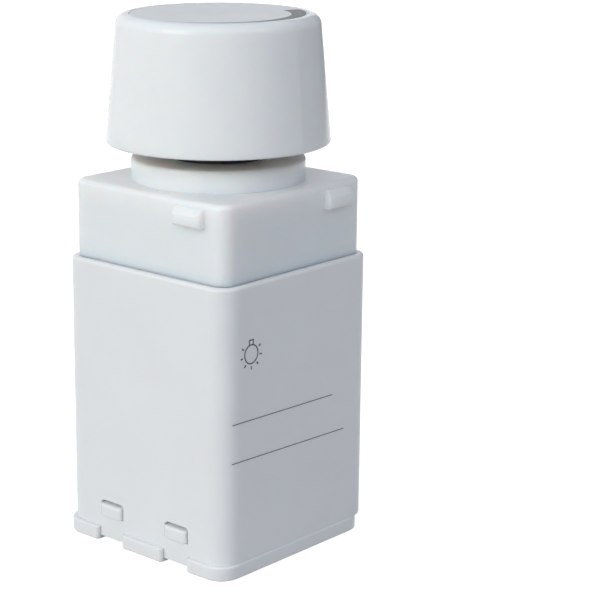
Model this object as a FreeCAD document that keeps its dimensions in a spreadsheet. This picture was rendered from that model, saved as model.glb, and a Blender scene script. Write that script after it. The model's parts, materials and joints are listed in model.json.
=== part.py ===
import FreeCAD, Part
import os
import re

import Sketcher
from FreeCAD import Placement, Rotation, Vector

# A clip-in rotary dimmer for a wall plate: a white square housing with a turning and pushing knob.
# Frame: millimetres, +Z along the knob's axis, origin on that axis at the underside of the base.

SIZES = {
    # Rear housing: the sleeve that stands behind the wall plate.
    "body_width": 24.4,
    "body_corner": 2.5,
    "body_wall": 1.5,
    "seam_height": 1.6,
    "step_height": 32.3,
    "step_round": 0.35,
    "pry_depth": 0.9,
    "pry_height": 1.2,
    "snap_offset": 5.0,
    "tongue_width": 3.6,
    "tongue_low": 0.5,
    "window_width": 3.4,
    "window_low": 3.05,
    "window_high": 4.8,
    "window_corner": 0.4,
    "window_round": 0.2,
    "wire_hole_radius": 1.6,
    "corner_rib": 1.4,
    # Front housing: the narrower square with the collar and the four catches.
    "upper_step": 0.8,
    "upper_corner": 1.65,
    "shoulder_height": 41.0,
    "shoulder_round": 0.6,
    "roof_thickness": 1.6,
    "skirt_gap": 0.1,
    "skirt_wall": 1.0,
    "skirt_corner": 0.9,
    "collar_radius": 9.6,
    "collar_top": 43.4,
    "collar_round": 0.3,
    "bore_round": 0.2,
    "guide_wall": 1.5,
    "guide_bottom": 37.4,
    "catch_offset": 6.6,
    "catch_width": 4.0,
    "catch_low": 38.3,
    "catch_high": 40.3,
    "catch_proud": 0.9,
    "catch_crest": 0.4,
    "catch_land": 1.3,
    "catch_round": 0.3,
    "nub_width": 4.0,
    "nub_low": 27.6,
    "nub_high": 28.6,
    "nub_proud": 0.35,
    "nub_gap": 0.2,
    "post_inset": 2.2,
    "post_radius": 1.9,
    # Base cover: the plate with the flange, the rim and the four snap hooks.
    "flange_step": 0.5,
    "base_side_step": 0.2,
    "base_round": 0.2,
    "flange_round": 0.2,
    "notch_gap": 0.05,
    "tab_round": 0.5,
    "rim_gap": 0.2,
    "rim_wall": 1.0,
    "rim_top": 3.0,
    "hook_gap": 0.08,
    "hook_thickness": 1.2,
    "hook_land": 1.3,
    "hook_headroom": 0.2,
    "hook_proud": 0.25,
    "hook_round": 0.35,
    "screw_access_radius": 1.9,
    "trimmer_access_radius": 1.5,
    "vent_width": 0.9,
    "vent_length": 8.0,
    "vent_pitch": 2.0,
    "vent_offset": 5.4,
    # Knob with its inlay and hub.
    "knob_low": 45.05,
    "knob_high": 59.0,
    "knob_low_radius": 12.35,
    "knob_high_radius": 11.05,
    "knob_round": 1.2,
    "knob_rim_round": 0.25,
    "knob_wall": 1.7,
    "knob_roof_low": 56.2,
    "inlay_radius": 9.65,
    "inlay_low": 57.8,
    "inlay_gap": 0.05,
    "inlay_drop": 0.05,
    "inlay_round": 0.1,
    "hub_radius": 5.0,
    "hub_low": 45.9,
    "hub_rib": 1.0,
    "hub_rib_bite": 0.4,
    "hub_rib_low": 50.0,
    "ring_low": 47.0,
    "ring_high": 49.0,
    "ring_wall": 0.4,
    "ring_slot": 1.0,
    # Drive shaft through the collar.
    "shaft_radius": 4.8,
    "shaft_gap": 0.3,
    "shaft_shoulder": 45.6,
    "flange_radius": 6.0,
    "flange_low": 36.1,
    "flange_thickness": 1.1,
    "stub_radius": 3.0,
    "stub_flat": 2.2,
    "stub_top": 56.0,
    "stub_fit": 0.02,
    "drive_radius": 2.8,
    "drive_flat": 2.2,
    "drive_below_board": 0.4,
    "drive_fit": 0.05,
    # Potentiometer on its board.
    "pot_board_low": 24.8,
    "board_thickness": 1.2,
    "board_gap": 0.2,
    "board_corner": 1.0,
    "board_hole_radius": 3.3,
    "pot_radius": 7.2,
    "pot_wall": 1.0,
    "pot_floor": 1.2,
    "pot_height": 5.6,
    "pot_cover_thickness": 0.6,
    "pot_cover_hole": 3.2,
    "track_thickness": 0.4,
    "track_inner_radius": 3.6,
    "track_outer_radius": 6.0,
    "wiper_gap": 0.05,
    "wiper_height": 0.7,
    "wiper_plate": 0.3,
    "wiper_width": 1.4,
    "wiper_inset": 0.35,
    "rotor_radius": 5.85,
    "rotor_headroom": 0.3,
    "pot_lug_pitch": 2.5,
    "pot_lug_width": 0.9,
    "pot_lug_height": 0.6,
    "pot_lug_gap": 0.8,
    "board_screw_radius": 0.95,
    "board_screw_length": 6.0,
    "board_screw_head_radius": 1.7,
    "board_screw_head_height": 1.2,
    "board_screw_gap": 0.15,
    "driver_slot_width": 0.5,
    "driver_slot_depth": 0.6,
    # Push switch under the shaft.
    "main_board_low": 14.8,
    "switch_width": 9.2,
    "switch_wall": 1.0,
    "switch_floor": 0.6,
    "switch_height": 6.0,
    "switch_cover_thickness": 0.8,
    "stem_radius": 2.2,
    "stem_gap": 0.3,
    "plunger_width": 6.0,
    "plunger_height": 2.0,
    "plunger_gap": 0.1,
    "bridge_length": 7.0,
    "bridge_width": 5.6,
    "bridge_thickness": 0.3,
    "bridge_hole_radius": 2.5,
    "fixed_contact_width": 1.6,
    "fixed_contact_length": 0.7,
    "fixed_contact_gap": 0.1,
    "push_travel": 1.2,
    "spring_radius": 1.7,
    "spring_wire": 0.35,
    "spring_turns": 3.5,
    "spring_seat": 0.05,
    # Pins between the boards.
    "pin_radius": 0.35,
    "pin_pitch": 1.8,
    "pin_row_inset": 1.0,
    "pin_end": 0.6,
    "pin_hole_gap": 0.1,
    "strip_width": 2.2,
    "strip_height": 2.4,
    # Terminals along the side with the wire entries.
    "terminal_pitch": 6.0,
    "carrier_gap": 0.2,
    "carrier_wall": 0.8,
    "carrier_end": 0.6,
    "cage_gap": 0.1,
    "cage_depth": 4.6,
    "cage_width": 4.8,
    "cage_wall": 0.8,
    "cage_thread_wall": 1.2,
    "cage_inside": 5.6,
    "cage_headroom": 0.4,
    "clamp_travel": 2.0,
    "clamp_clearance": 0.3,
    "terminal_head_radius": 2.2,
    "terminal_head_height": 1.4,
    "terminal_head_gap": 0.3,
    "terminal_slot_width": 0.6,
    "terminal_slot_depth": 0.7,
    "terminal_shank_radius": 1.5,
    "thread_fit": 0.05,
    "busbar_thickness": 0.8,
    "busbar_width": 2.8,
    "busbar_space": 3.0,
    "busbar_gap": 0.1,
    "busbar_pin_width": 1.0,
    "busbar_pin_short": 0.1,
    # Parts under the main board.
    "spreader_thickness": 1.2,
    "spreader_width": 18.0,
    "spreader_gap": 0.3,
    "spreader_end_gap": 0.2,
    "pad_thickness": 0.2,
    "pad_width": 16.0,
    "pad_low": 3.8,
    "pad_high": 13.2,
    "transistor_offset": 4.2,
    "transistor_width": 6.4,
    "transistor_thickness": 2.2,
    "transistor_low": 4.4,
    "transistor_high": 12.6,
    "transistor_leg_pitch": 2.0,
    "leg_radius": 0.3,
    "leg_hole_gap": 0.1,
    "leg_end": 0.6,
    "film_gap": 0.3,
    "film_thickness": 5.0,
    "film_length": 13.0,
    "film_height": 9.4,
    "film_lead_pitch": 10.4,
    "standoff": 0.2,
    "trimmer_gap": 0.3,
    "trimmer_y": 5.0,
    "trimmer_width": 4.4,
    "trimmer_height": 3.4,
    "trimmer_rotor_radius": 1.6,
    "trimmer_rotor_gap": 0.08,
    "trimmer_rotor_depth": 1.0,
    "trimmer_rotor_proud": 0.7,
    "trimmer_rotor_end_gap": 0.1,
    "chip_gap": 0.1,
    "chip_y": 3.5,
    "chip_width": 3.6,
    "chip_length": 5.0,
    "chip_height": 1.4,
    "chip_leg_pitch": 1.2,
    "chip_leg_width": 0.4,
    "chip_leg_length": 0.5,
    "chip_leg_height": 0.7,
    "small_part_length": 2.0,
    "small_part_width": 1.2,
    "small_part_height": 0.6,
    "small_part_inset": 2.5,
    "small_part_gap": 0.7,
    "small_part_top_x": 1.2,
    "small_part_pitch": 2.8,
    # Parts on top of the main board.
    "can_inset": 3.4,
    "can_radius": 2.35,
    "can_height": 7.0,
    "can_sleeve_wall": 0.15,
    "can_sleeve_step": 0.3,
    "choke_x": 3.0,
    "choke_inset": 3.2,
    "choke_radius": 2.7,
    "choke_neck_radius": 1.4,
    "choke_winding_radius": 2.4,
    "choke_flange": 1.2,
    "choke_height": 6.0,
    "varistor_inset": 3.0,
    "varistor_y": 0.0,
    "varistor_radius": 3.4,
    "varistor_thickness": 3.0,
    "varistor_lead_pitch": 2.5,
    "fuse_inset": 3.3,
    "fuse_y": 1.6,
    "fuse_length": 8.0,
    "fuse_radius": 1.7,
    "fuse_cap_radius": 1.8,
    "fuse_cap_length": 1.6,
    "fuse_gap": 0.1,
}

document = FreeCAD.newDocument("rotary_dimmer")
sheet = document.addObject("Spreadsheet::Sheet", "sizes")
for row, (word, value) in enumerate(SIZES.items(), start=1):
    sheet.set(f"A{row}", word)
    sheet.set(f"B{row}", str(value))
    sheet.setAlias(f"B{row}", word)
document.recompute()

NEAR = 1e-4
nodes = []

# Places that several pieces share, worked out from the sizes above.
HALF = "(body_width / 2)"
UPPER = "(body_width / 2 - upper_step)"
BASE_FRONT = "(body_width / 2 + flange_step)"
BASE_SIDE = "(body_width / 2 + base_side_step)"
BASE_BACK = "(body_width / 2 - pry_depth)"
INNER = "(body_width / 2 - body_wall)"
SKIRT = f"({INNER} - skirt_gap)"
CAVITY = f"({SKIRT} - skirt_wall)"
POST = f"({CAVITY} - post_inset)"
PIN_ROW = f"({CAVITY} - pin_row_inset)"
ROOF_LOW = "(shoulder_height - roof_thickness)"
BOARD = f"({INNER} - board_gap)"
POT_BOARD_TOP = "(pot_board_low + board_thickness)"
MAIN_BOARD_TOP = "(main_board_low + board_thickness)"
BORE_RADIUS = "(shaft_radius + shaft_gap)"
DRIVE_LOW = "(pot_board_low - drive_below_board)"
CARRIER_FRONT = f"({INNER} - carrier_gap)"
CHAMBER_FRONT = f"({CARRIER_FRONT} - carrier_wall)"
CHAMBER_DEPTH = "(cage_depth + 2 * cage_gap)"
CHAMBER_BACK = f"({CHAMBER_FRONT} - {CHAMBER_DEPTH})"
CARRIER_BACK = f"({CHAMBER_BACK} - carrier_wall)"
TERMINAL_X = f"({CHAMBER_FRONT} - {CHAMBER_DEPTH} / 2)"
SCREW_HEAD_LOW = "(seam_height + terminal_head_gap)"
SCREW_HEAD_TOP = f"({SCREW_HEAD_LOW} + terminal_head_height)"
CAGE_LOW = f"({SCREW_HEAD_TOP} + clamp_clearance + clamp_travel)"
CAGE_TOP = f"({CAGE_LOW} + cage_thread_wall + cage_inside + cage_wall)"
BUSBAR_TOP = f"({CAGE_TOP} - cage_wall - busbar_space)"
BUSBAR_LOW = f"({BUSBAR_TOP} - busbar_thickness)"
WIRE_Z = f"({BUSBAR_TOP} + wire_hole_radius)"
SPREADER_BACK = f"({INNER} - spreader_gap)"
SPREADER_FRONT = f"({SPREADER_BACK} - spreader_thickness)"
PAD_FRONT = f"({SPREADER_FRONT} - pad_thickness)"
TRANSISTOR_FRONT = f"({PAD_FRONT} - transistor_thickness)"
LEG_X = f"({PAD_FRONT} - transistor_thickness / 2)"
TRIMMER_X = f"({TRANSISTOR_FRONT} - trimmer_gap - trimmer_width / 2)"
CHIP_X = f"({TRANSISTOR_FRONT} - chip_gap - chip_leg_length - chip_width / 2)"
FILM_LOW = f"(busbar_thickness + film_gap - {CARRIER_BACK})"
VARISTOR_X = f"({INNER} - varistor_inset)"
TERMINAL_ROWS = ("-terminal_pitch", "0", "terminal_pitch")
CORNERS = (("", ""), ("-", ""), ("-", "-"), ("", "-"))


def linked(expression):
    """Point each size's word in an expression at its cell."""
    return re.sub(r"[a-z_]{3,}", lambda m: f"sizes.{m[0]}" if m[0] in SIZES else m[0], expression)


def bind(thing, path, expression):
    thing.setExpression(path, linked(expression))


def node(label, thing):
    """Name a finished sub-part after its file."""
    thing.Label = label
    nodes.append(thing)
    return thing


def span_length(span):
    return f"({span[1]}) - ({span[0]})"


def block(name, x, y, z):
    """A box between two places along each axis."""
    box = document.addObject("Part::Box", name)
    for size, axis, span in (("Length", "x", x), ("Width", "y", y), ("Height", "z", z)):
        bind(box, size, span_length(span))
        bind(box, f"Placement.Base.{axis}", span[0])
    return box


AXIS_TURNS = {
    "x": (Rotation(Vector(0, 1, 0), 90), "yz"),
    "y": (Rotation(Vector(1, 0, 0), -90), "xz"),
    "z": (Rotation(), "xy"),
}


def rod(name, radius, span, centre=("0", "0"), axis="z"):
    """A cylinder between two places along an axis."""
    turn, across = AXIS_TURNS[axis]
    cylinder = document.addObject("Part::Cylinder", name)
    cylinder.Placement = Placement(Vector(), turn)
    bind(cylinder, "Radius", radius)
    bind(cylinder, "Height", span_length(span))
    bind(cylinder, f"Placement.Base.{axis}", span[0])
    for letter, place in zip(across, centre):
        bind(cylinder, f"Placement.Base.{letter}", place)
    return cylinder


def fuse(name, pieces):
    joined = document.addObject("Part::MultiFuse", name)
    joined.Shapes = pieces
    joined.Refine = True
    return joined


def cut(name, base, tools):
    """The base less one or more tools."""
    result = document.addObject("Part::Cut", name)
    result.Base = base
    result.Tool = tools[0] if len(tools) == 1 else fuse(f"{name}_tools", tools)
    return result


def common(name, first, second):
    result = document.addObject("Part::MultiCommon", name)
    result.Shapes = [first, second]
    return result


def group(name, pieces):
    """Identical separate solids under one name."""
    together = document.addObject("Part::Compound", name)
    together.Links = pieces
    return together


def tube(name, outer, inner, z, centre=("0", "0")):
    return cut(name, rod(f"{name}_outer", outer, z, centre), [rod(f"{name}_inner", inner, z, centre)])


def double_d(name, radius, flat, z):
    """A round bar with two parallel flats."""
    bar = rod(f"{name}_round", radius, z)
    flats = block(f"{name}_flats", (f"-({radius})", radius), (f"-({flat})", flat), z)
    return common(name, bar, flats)


def rectangle(x, y):
    """Corner points of a rectangle, anticlockwise."""
    return [(x[0], y[0]), (x[1], y[0]), (x[1], y[1]), (x[0], y[1])]


def around(half_x, half_y):
    """Corner points of a rectangle centred on the axis."""
    return rectangle((f"-({half_x})", half_x), (f"-({half_y})", half_y))


class Moulding:
    """A piece built up from sketched features in a body of its own."""

    def __init__(self, label):
        self.body = document.addObject("PartDesign::Body", label)
        node(label, self.body)

    def plane(self, role):
        return next(item for item in self.body.Origin.OriginFeatures if item.Role == role)

    def sketch(self, outlines=(), circles=(), role="XY_Plane", offset="0"):
        """Closed outlines and circles, each point held by its two distances from the origin."""
        drawing = self.body.newObject("Sketcher::SketchObject", f"{self.body.Name}_sketch")
        drawing.AttachmentSupport = [(self.plane(role), "")]
        drawing.MapMode = "FlatFace"
        bind(drawing, "AttachmentOffset.Base.z", offset)
        for outline in outlines:
            self.draw_outline(drawing, outline)
        for x, y, radius in circles:
            self.draw_circle(drawing, x, y, radius)
        return drawing

    @staticmethod
    def hold(drawing, kind, *arguments, expression):
        index = drawing.addConstraint(Sketcher.Constraint(kind, *arguments))
        bind(drawing, f"Constraints[{index}]", expression)

    def draw_outline(self, drawing, points):
        first = drawing.GeometryCount
        count = len(points)
        upward = Vector(0, 0, 1)
        rough = [Rotation(upward, 360 * step / count).multVec(Vector(1, 0, 0)) for step in range(count)]
        for step in range(count):
            drawing.addGeometry(Part.LineSegment(rough[step], rough[(step + 1) % count]), False)
        for step, (x, y) in enumerate(points):
            line = first + step
            after = first + (step + 1) % count
            drawing.addConstraint(Sketcher.Constraint("Coincident", line, 2, after, 1))
            self.hold(drawing, "DistanceX", -1, 1, line, 1, rough[step].x, expression=x)
            self.hold(drawing, "DistanceY", -1, 1, line, 1, rough[step].y, expression=y)

    def draw_circle(self, drawing, x, y, radius):
        index = drawing.addGeometry(Part.Circle(Vector(), Vector(0, 0, 1), 1), False)
        self.hold(drawing, "DistanceX", -1, 1, index, 3, 0.0, expression=x)
        self.hold(drawing, "DistanceY", -1, 1, index, 3, 0.0, expression=y)
        self.hold(drawing, "Radius", index, 1.0, expression=radius)

    def pad(self, drawing, length):
        feature = self.body.newObject("PartDesign::Pad", f"{self.body.Name}_pad")
        feature.Profile = drawing
        bind(feature, "Length", length)
        document.recompute()
        return feature

    def pocket(self, drawing, length, along=True):
        """Cut from the sketch along its normal, or against it, and check that something went."""
        before = self.body.Shape.Volume
        feature = self.body.newObject("PartDesign::Pocket", f"{self.body.Name}_pocket")
        feature.Profile = drawing
        feature.Reversed = along
        bind(feature, "Length", length)
        document.recompute()
        if self.body.Shape.Volume > before - NEAR:
            raise RuntimeError(f"{self.body.Label}: a pocket cut nothing")
        return feature

    def raise_from(self, low, high, outlines=(), circles=()):
        return self.pad(self.sketch(outlines, circles, offset=low), f"({high}) - ({low})")

    def sink_from(self, low, high, outlines=(), circles=()):
        return self.pocket(self.sketch(outlines, circles, offset=low), f"({high}) - ({low})")

    def turn(self, points):
        """Revolve an outline of radius and height about the axis."""
        drawing = self.sketch([points], role="XZ_Plane")
        feature = self.body.newObject("PartDesign::Revolution", f"{self.body.Name}_turn")
        feature.Profile = drawing
        feature.ReferenceAxis = (drawing, ["V_Axis"])
        feature.Angle = 360
        document.recompute()
        return feature

    def edges(self, wanted):
        shape = self.body.Tip.Shape
        return [f"Edge{index}" for index, edge in enumerate(shape.Edges, start=1) if wanted(edge)]

    def dress(self, kind, size_name, size, wanted):
        names = self.edges(wanted)
        if not names:
            raise RuntimeError(f"{self.body.Label}: no edges to dress")
        base = self.body.Tip
        feature = self.body.newObject(f"PartDesign::{kind}", f"{self.body.Name}_{kind.lower()}")
        feature.Base = (base, names)
        bind(feature, size_name, size)
        document.recompute()
        return feature

    def fillet(self, radius, wanted):
        return self.dress("Fillet", "Radius", radius, wanted)

    def turned_copies(self, feature, count):
        pattern = self.body.newObject("PartDesign::PolarPattern", f"{self.body.Name}_pattern")
        pattern.Originals = [feature]
        pattern.Axis = (self.plane("Z_Axis"), [""])
        pattern.Angle = 360
        pattern.Occurrences = count
        self.body.Tip = pattern
        document.recompute()
        return pattern


def number(word):
    """A size as it stands in the sheet."""
    return float(sheet.get(sheet.getCellFromAlias(word)))


def close(first, second):
    return abs(first - second) < NEAR


def upright(edge):
    return edge.BoundBox.XLength < NEAR and edge.BoundBox.YLength < NEAR


def level_at(edge, height):
    return close(edge.BoundBox.ZMin, height) and close(edge.BoundBox.ZMax, height)


def reach(edge):
    """How far an edge gets from the axis, measured square to the walls."""
    box = edge.BoundBox
    return max(abs(box.XMin), abs(box.XMax), abs(box.YMin), abs(box.YMax))


def on_wall(edge, distance):
    """Whether an edge lies flat against a plane that stands this far from the axis."""
    box = edge.BoundBox
    across = box.XLength < NEAR and close(abs(box.XMin), distance)
    return across or (box.YLength < NEAR and close(abs(box.YMin), distance))


def at_front_window_or_entry(edge):
    """The outer edges of the front snap windows and of the wire entries."""
    box = edge.BoundBox
    outside = -number("body_width") / 2
    tall_enough = box.ZMin > number("window_low") - NEAR and box.ZMax < number("window_high") + NEAR
    at_entry = close(box.XMax, outside) and isinstance(edge.Curve, Part.Circle)
    return at_entry or (close(box.YMax, outside) and tall_enough)


def at_window_top(edge):
    """The upper corners of the snap windows, right through the wall."""
    box = edge.BoundBox
    through = box.XLength < NEAR and box.ZLength < NEAR and close(box.YLength, number("body_wall"))
    return through and level_at(edge, number("window_high"))


def side_rectangles(offset, half_width, near, far):
    """Rectangles at both snap places on the front and the back wall."""
    outlines = []
    for side in ("-", ""):
        x = (f"{side}{offset} - ({half_width})", f"{side}{offset} + ({half_width})")
        outlines.append(rectangle(x, (f"-({far})", f"-({near})")))
        outlines.append(rectangle(x, (near, far)))
    return outlines


def make_rear_housing():
    piece = Moulding("rear_housing")
    inner = number("body_width") / 2 - number("body_wall")
    piece.raise_from("seam_height", "step_height", [around(HALF, HALF)])
    piece.fillet("body_corner", upright)
    step = number("step_height")
    piece.fillet("step_round", lambda edge: level_at(edge, step))
    # A slanted relief along the back lets a blade get behind the base cover.
    profile = [
        (f"{HALF} - pry_depth", "seam_height - step_round"),
        (f"{HALF} - pry_depth", "seam_height"),
        (f"{HALF}", "seam_height + pry_height"),
        (f"{HALF} + step_round", "seam_height + pry_height"),
        (f"{HALF} + step_round", "seam_height - step_round"),
    ]
    piece.pocket(piece.sketch([profile], role="YZ_Plane", offset=f"-{HALF}"), "body_width")
    piece.sink_from("seam_height", "step_height", [around(INNER, INNER)])
    piece.fillet("body_corner - body_wall", lambda edge: upright(edge) and close(reach(edge), inner))
    tongues = side_rectangles("snap_offset", "tongue_width / 2", INNER, HALF)[::2]
    piece.raise_from("tongue_low", "seam_height", tongues)
    reach_out = f"{HALF} + step_round"
    windows = side_rectangles("snap_offset", "window_width / 2", f"{INNER} - board_gap", reach_out)
    piece.sink_from("window_low", "window_high", windows)
    piece.fillet("window_corner", at_window_top)
    entries = [(row, WIRE_Z, "wire_hole_radius") for row in TERMINAL_ROWS]
    drawing = piece.sketch(circles=entries, role="YZ_Plane", offset=f"-{INNER} + board_gap")
    piece.pocket(drawing, "body_wall + 2 * board_gap", along=False)
    piece.fillet("window_round", at_front_window_or_entry)
    # Ribs in the corners: the main board stops under them and the upper board stands on them.
    near = f"{INNER} - corner_rib"
    ribs = []
    for sign_x, sign_y in CORNERS:
        x = (f"{sign_x}({near})", f"{sign_x}({INNER})")
        y = (f"{sign_y}({near})", f"{sign_y}({INNER})")
        ribs.append(rectangle(x, y))
    piece.raise_from(MAIN_BOARD_TOP, "pot_board_low", ribs)
    # Blind pockets in the side walls take the nubs of the front housing.
    half = "nub_width / 2 + nub_gap"
    depth = f"{SKIRT} + nub_proud + nub_gap"
    pockets = []
    for sign in ("", "-"):
        x = (f"{sign}({INNER} - board_gap)", f"{sign}({depth})")
        pockets.append(rectangle(x, (f"-({half})", half)))
    piece.sink_from("nub_low - nub_gap", "nub_high + nub_gap", pockets)


def make_front_housing():
    piece = Moulding("front_housing")
    shoulder = number("shoulder_height")
    piece.raise_from("step_height", "shoulder_height", [around(UPPER, UPPER)])
    piece.fillet("upper_corner", upright)
    piece.fillet("shoulder_round", lambda edge: level_at(edge, shoulder))
    piece.raise_from("shoulder_height", "collar_top", circles=[("0", "0", "collar_radius")])
    mouth = number("collar_top")
    piece.fillet("collar_round", lambda edge: level_at(edge, mouth))
    piece.raise_from(POT_BOARD_TOP, "step_height", [around(SKIRT, SKIRT)])
    step = number("step_height")
    piece.fillet("skirt_corner", lambda edge: upright(edge) and edge.BoundBox.ZMax < step + NEAR)
    piece.sink_from(POT_BOARD_TOP, ROOF_LOW, [around(CAVITY, CAVITY)])
    piece.raise_from("guide_bottom", ROOF_LOW, circles=[("0", "0", f"{BORE_RADIUS} + guide_wall")])
    posts = [(f"{sign}{POST}", f"{sign}{POST}") for sign in ("", "-")]
    piece.raise_from(POT_BOARD_TOP, ROOF_LOW, circles=[(x, y, "post_radius") for x, y in posts])
    piece.sink_from("guide_bottom", "collar_top", circles=[("0", "0", BORE_RADIUS)])
    bore = number("shaft_radius") + number("shaft_gap")
    piece.fillet("bore_round", lambda edge: level_at(edge, mouth) and close(reach(edge), bore))
    pilots = [(x, y, "board_screw_radius") for x, y in posts]
    screw_top = "pot_board_low + board_screw_length"
    piece.sink_from(POT_BOARD_TOP, f"{screw_top} + board_gap", circles=pilots)
    for sign in ("", "-"):
        x = (f"{sign}{CAVITY}", f"{sign}({SKIRT} + nub_proud)")
        piece.raise_from("nub_low", "nub_high", [rectangle(x, ("-nub_width / 2", "nub_width / 2"))])
    # One catch on each face, which swells from its crest down to a ledge that holds the wall plate.
    profile = [
        (f"-({UPPER} - skirt_gap)", "catch_low"),
        (f"-({UPPER} + catch_proud)", "catch_low"),
        (f"-({UPPER} + catch_proud)", "catch_low + catch_land"),
        (f"-({UPPER} + catch_crest)", "catch_high"),
        (f"-({UPPER} - skirt_gap)", "catch_high"),
    ]
    drawing = piece.sketch([profile], role="YZ_Plane", offset="catch_offset - catch_width / 2")
    piece.turned_copies(piece.pad(drawing, "catch_width"), 4)
    ledge = number("body_width") / 2 - number("upper_step") + number("catch_proud")
    piece.fillet("catch_round", lambda edge: on_wall(edge, ledge))


def at_notch(edge, front, span):
    """Whether an edge is an outer corner of a notch in the front flange."""
    return close(edge.BoundBox.YMin, front) and abs(edge.BoundBox.XMin) < span


def make_base_cover():
    piece = Moulding("base_cover")
    seam = number("seam_height")
    front = -number("body_width") / 2 - number("flange_step")
    plate = rectangle((f"-{BASE_SIDE}", BASE_SIDE), (f"-{BASE_FRONT}", BASE_BACK))
    piece.raise_from("0", "seam_height", [plate])
    piece.fillet("body_corner", upright)
    half = "tongue_width / 2 + notch_gap"
    past_front = f"{BASE_FRONT} + notch_gap"
    notches = side_rectangles("snap_offset", half, f"{INNER} - notch_gap", past_front)[::2]
    piece.sink_from("0", "seam_height", notches)
    span = number("snap_offset") + number("tongue_width")
    piece.fillet("tab_round", lambda edge: upright(edge) and at_notch(edge, front, span))
    piece.fillet("base_round", lambda edge: level_at(edge, 0))
    piece.fillet("flange_round", lambda edge: level_at(edge, seam))
    # The rim stands just inside the rear housing, clear of the hooks and of the terminals.
    rim_out = f"({INNER} - rim_gap)"
    rim_in = f"({rim_out} - rim_wall)"
    hook_half = "(window_width / 2 - hook_gap)"
    gap_to_hook = f"(snap_offset - {hook_half} - rim_gap)"
    rims = [rectangle((rim_in, rim_out), (f"-({rim_in} - rim_wall)", f"{rim_in} - rim_wall"))]
    for sign in ("", "-"):
        rims.append(rectangle((f"-{gap_to_hook}", gap_to_hook), (f"{sign}{rim_in}", f"{sign}{rim_out}")))
    piece.raise_from("seam_height", "rim_top", rims)
    # A hook is a springy post with a barb that fills its window and stands a little proud of the wall.
    post_out = f"({INNER} - rim_gap)"
    post_in = f"({post_out} - hook_thickness)"
    barb = f"({HALF} + hook_proud)"
    barb_low = "(window_low + hook_gap)"
    barb_top = "(window_high - hook_headroom)"
    outlines = []
    for sign in ("", "-"):
        outlines.append([
            (f"{sign}{post_in}", "seam_height"),
            (f"{sign}{post_out}", "seam_height"),
            (f"{sign}{post_out}", barb_low),
            (f"{sign}{barb}", barb_low),
            (f"{sign}{barb}", f"{barb_low} + hook_land"),
            (f"{sign}{post_out}", barb_top),
            (f"{sign}{post_in}", barb_top),
        ])
    for sign in ("", "-"):
        offset = f"{sign}snap_offset - {hook_half}"
        piece.pad(piece.sketch(outlines, role="YZ_Plane", offset=offset), f"2 * {hook_half}")
    tip = number("body_width") / 2 + number("hook_proud")
    sole = number("window_low") + number("hook_gap")
    piece.fillet("hook_round", lambda edge: on_wall(edge, tip) and not level_at(edge, sole))
    accesses = [(f"-{TERMINAL_X}", row, "screw_access_radius") for row in TERMINAL_ROWS]
    accesses.append((TRIMMER_X, "trimmer_y", "trimmer_access_radius"))
    piece.sink_from("0", "seam_height", circles=accesses)
    vents = []
    for step in range(3):
        low = f"vent_offset - {BASE_FRONT} + {step} * vent_pitch"
        vents.append(rectangle(("0", "vent_length"), (low, f"{low} + vent_width")))
    piece.sink_from("0", "seam_height", vents)


def make_knob():
    piece = Moulding("knob_cap")
    top = number("knob_high")
    low = number("knob_low")
    low_radius = number("knob_low_radius")
    high_radius = number("knob_high_radius")
    inner_low = "(knob_low_radius - knob_wall)"
    inner_high = "(knob_high_radius - knob_wall)"
    piece.turn([
        (inner_low, "knob_low"),
        ("knob_low_radius", "knob_low"),
        ("knob_high_radius", "knob_high"),
        ("inlay_radius + inlay_gap", "knob_high"),
        ("inlay_radius + inlay_gap", "inlay_low"),
        ("0", "inlay_low"),
        ("0", "knob_roof_low"),
        (inner_high, "knob_roof_low"),
    ])
    piece.fillet("knob_round", lambda edge: level_at(edge, top) and close(reach(edge), high_radius))
    piece.fillet("knob_rim_round", lambda edge: level_at(edge, low) and close(reach(edge), low_radius))
    piece.raise_from("hub_low", "knob_roof_low", circles=[("0", "0", "hub_radius")])
    # Four ribs tie the hub to the skirt.
    rib = rectangle(("hub_radius - hub_rib", f"{inner_high} + hub_rib_bite"), ("-hub_rib / 2", "hub_rib / 2"))
    piece.turned_copies(piece.raise_from("hub_rib_low", "knob_roof_low", [rib]), 4)
    # The hub's socket is round with one flat, and slots let its lower end spring.
    socket_radius = "(stub_radius + stub_fit)"
    flat = "(stub_flat + stub_fit)"
    piece.sink_from("hub_low", "knob_roof_low", circles=[("0", "0", socket_radius)])
    key = rectangle((f"-{socket_radius}", socket_radius), (flat, f"{socket_radius} + hub_rib / 2"))
    piece.raise_from("hub_low", "knob_roof_low", [key])
    slot = rectangle(("-hub_radius - hub_rib", "hub_radius + hub_rib"), ("-ring_slot / 2", "ring_slot / 2"))
    piece.sink_from("hub_low", "ring_high + ring_slot", [slot])


def make_knob_fittings():
    piece = Moulding("knob_inlay")
    piece.raise_from("inlay_low", "knob_high - inlay_drop", circles=[("0", "0", "inlay_radius")])
    height = number("knob_high") - number("inlay_drop")
    piece.fillet("inlay_round", lambda edge: level_at(edge, height))
    ring = tube("ring", "hub_radius + ring_wall", "hub_radius", ("ring_low", "ring_high"))
    slot = ("-ring_slot / 2", "ring_slot / 2")
    opening = block("ring_opening", ("0", "hub_radius + hub_rib"), slot, ("ring_low", "ring_high"))
    node("hub_spring_ring", cut("ring_open", ring, [opening]))


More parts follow.
